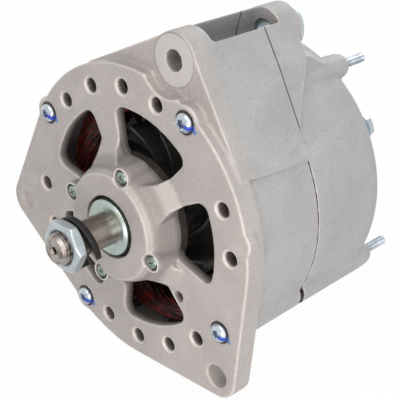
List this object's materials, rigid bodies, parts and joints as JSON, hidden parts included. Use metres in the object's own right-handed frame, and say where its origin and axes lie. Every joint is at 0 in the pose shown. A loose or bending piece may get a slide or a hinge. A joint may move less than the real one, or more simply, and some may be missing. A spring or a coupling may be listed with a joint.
{
  "type": "engine alternator",
  "caption": "Claw-pole alternator in two cast housings, with a windowed flange, slotted swivel lug, ears, fans, brush gear, rectifier and rear terminals.",
  "frame": {"origin": "on the shaft axis, at the shoulder that the pulley is clamped against", "axes": "-Y out of the shaft end that carries the pulley, +Z through the swivel lug, +X to the right seen from the pulley side"},
  "size_m": [0.1794, 0.182, 0.1857],
  "materials": {
    "cast_front": "blasted raw die casting, slightly warm grey, soft edges",
    "cast_rear": "blasted raw die casting, neutral grey",
    "zinc": "bright bluish zinc plating",
    "zinc_green": "bright zinc plating with a greenish tint",
    "ground_steel": "ground steel with fine rings",
    "black_steel": "black oxide spring steel",
    "bearing_steel": "ground and polished bearing steel",
    "cage_steel": "pressed steel",
    "seal_rubber": "matte black rubber",
    "core_steel": "laminated steel, dark varnish",
    "copper_winding": "dark red enamelled copper wire",
    "coil_copper": "enamelled copper wire",
    "claw_steel": "forged steel, dark",
    "fan_black": "black painted sheet steel",
    "bobbin_nylon": "natural nylon",
    "slip_copper": "turned copper",
    "carbon": "carbon graphite",
    "spring_steel": "bright spring wire",
    "black_moulding": "black glass filled moulding",
    "regulator_case": "die cast finned cover",
    "sink_aluminium": "pressed aluminium sheet",
    "diode_case": "tinned copper case",
    "standoff_fibre": "fibre insulating sleeves"
  },
  "bodies": {
    "housing": {"drive_end_housing": "cast_front", "rear_housing": "cast_rear", "through_bolts": "zinc", "bearing_retainer": "cage_steel", "retainer_screws": "zinc_green", "front_bearing_outer": "bearing_steel", "front_bearing_seals": "seal_rubber", "rear_bearing_outer": "bearing_steel", "rear_bearing_seals": "seal_rubber", "stator_core": "core_steel", "stator_winding": "copper_winding", "brush_holder": "black_moulding", "brush_spring_front": "spring_steel", "brush_spring_rear": "spring_steel", "voltage_regulator": "regulator_case", "regulator_screws": "zinc", "heat_sink_positive": "sink_aluminium", "heat_sink_negative": "sink_aluminium", "diodes_positive": "diode_case", "diodes_negative": "diode_case", "sink_standoffs": "standoff_fibre", "exciter_diodes": "black_moulding", "charge_stud": "zinc", "charge_insulator": "black_moulding", "charge_nut": "zinc", "signal_studs": "zinc", "signal_insulators": "black_moulding", "signal_nuts": "zinc"},
    "rotor": {"rotor_shaft": "ground_steel", "pulley_collar": "zinc", "pulley_nut": "zinc", "lock_washer": "black_steel", "spacer_sleeve": "ground_steel", "front_fan": "fan_black", "rear_fan": "fan_black", "claw_pole_front": "claw_steel", "claw_pole_rear": "claw_steel", "rotor_core": "claw_steel", "field_bobbin": "bobbin_nylon", "field_coil": "coil_copper", "slip_ring_hub": "black_moulding", "slip_ring_front": "slip_copper", "slip_ring_rear": "slip_copper", "front_bearing_inner": "bearing_steel", "rear_bearing_inner": "bearing_steel"},
    "front_cage_body": {"front_bearing_cage": "cage_steel", "front_bearing_balls": "bearing_steel"},
    "rear_cage_body": {"rear_bearing_cage": "cage_steel", "rear_bearing_balls": "bearing_steel"},
    "brush_front_body": {"brush_front": "carbon"},
    "brush_rear_body": {"brush_rear": "carbon"},
    "bush_body": {"slide_bush": "zinc"}
  },
  "joints": [
    {"name": "rotor_spin", "type": "hinge", "parent": "housing", "child": "rotor", "pos_m": [0, 0, 0], "axis": [0, 1, 0], "continuous": true},
    {"name": "front_cage_spin", "type": "hinge", "parent": "housing", "child": "front_cage_body", "pos_m": [0, 0.013, 0], "axis": [0, 1, 0], "continuous": true},
    {"name": "rear_cage_spin", "type": "hinge", "parent": "housing", "child": "rear_cage_body", "pos_m": [0, 0.1205, 0], "axis": [0, 1, 0], "continuous": true},
    {"name": "brush_front_slide", "type": "slide", "parent": "housing", "child": "brush_front_body", "axis": [0, 0, -1], "range_m": [0, 0.005], "stiffness_N_per_m": 250, "springref_m": -0.016, "deforming": ["brush_spring_front"]},
    {"name": "brush_rear_slide", "type": "slide", "parent": "housing", "child": "brush_rear_body", "axis": [0, 0, -1], "range_m": [0, 0.005], "stiffness_N_per_m": 250, "springref_m": -0.016, "deforming": ["brush_spring_rear"]},
    {"name": "bush_slide", "type": "slide", "parent": "housing", "child": "bush_body", "axis": [0, 1, 0], "range_m": [0, 0.003]}
  ],
  "couplings": [
    {"joint": "front_cage_spin", "follows": "rotor_spin", "ratio": 0.372},
    {"joint": "rear_cage_spin", "follows": "rotor_spin", "ratio": 0.384}
  ]
}
